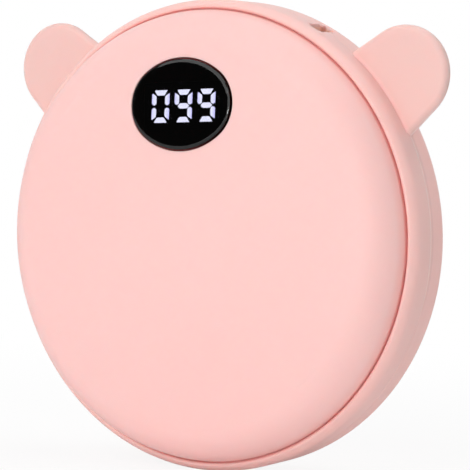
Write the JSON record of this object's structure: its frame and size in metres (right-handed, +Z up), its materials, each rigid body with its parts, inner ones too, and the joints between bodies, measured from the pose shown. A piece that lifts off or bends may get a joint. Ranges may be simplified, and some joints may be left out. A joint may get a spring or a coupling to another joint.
{
  "type": "rechargeable hand warmer",
  "caption": "Round pocket hand warmer with two ear-shaped tabs, an oval number display, a charging socket, a power button and a strap slot.",
  "frame": {"origin": "centre of the round body, on the plane where the two shells meet", "axes": "+Z up towards the ears, front face and display towards -Y, +X to the right seen from the front"},
  "size_m": [0.0902, 0.0273, 0.0852],
  "materials": {
    "soft_touch_ring": "matt soft-touch moulding",
    "soft_touch_plate": "matt soft-touch moulding",
    "button": "matt soft-touch moulding",
    "tape": "thin double-sided tape",
    "smoked_lens": "glossy smoked lens",
    "black_plastic": "satin",
    "lit_segments": "clear resin with light behind",
    "dark_segments": "clear resin, unlit",
    "circuit_board": "solder mask",
    "steel": "zinc plated",
    "socket_steel": "nickel plated",
    "gold_contacts": "gold flash",
    "ivory_plastic": "natural nylon",
    "ribbon_film": "flat cable film",
    "cell_pouch": "laminated pouch",
    "foam_tape": "foam tape",
    "heating_film": "polyimide film",
    "foam_pad": "closed-cell foam",
    "wire_insulation": "silicone insulation",
    "sensor_bead": "epoxy bead"
  },
  "bodies": {
    "case": {"front_shell": "soft_touch_ring", "rear_shell": "soft_touch_ring", "front_plate": "soft_touch_plate", "rear_plate": "soft_touch_plate", "front_plate_tape": "tape", "rear_plate_tape": "tape", "display_lens": "smoked_lens", "display_body": "black_plastic", "lit_bars": "lit_segments", "unlit_bars": "dark_segments", "display_board": "circuit_board", "display_screws": "steel", "main_board": "circuit_board", "board_screws": "steel", "usb_shell": "socket_steel", "usb_tongue": "black_plastic", "usb_contacts": "gold_contacts", "charge_coil": "black_plastic", "control_chips": "black_plastic", "board_connector": "ivory_plastic", "display_connector": "ivory_plastic", "display_ribbon": "ribbon_film", "switch_body": "black_plastic", "front_cell": "cell_pouch", "rear_cell": "cell_pouch", "cell_tape": "foam_tape", "front_heater": "heating_film", "rear_heater": "heating_film", "front_foam": "foam_pad", "rear_foam": "foam_pad", "cell_leads": "wire_insulation", "heater_leads": "wire_insulation", "heat_sensor": "sensor_bead", "case_screws": "steel", "strap_pin": "steel"},
    "button": {"power_button": "button", "switch_plunger": "ivory_plastic"}
  },
  "joints": [
    {"name": "button_press", "type": "slide", "parent": "case", "child": "button", "axis": [0.5299, 0, 0.848], "range_m": [0, 0.0003], "stiffness_N_per_m": 5000, "springref_m": -0.0001}
  ]
}
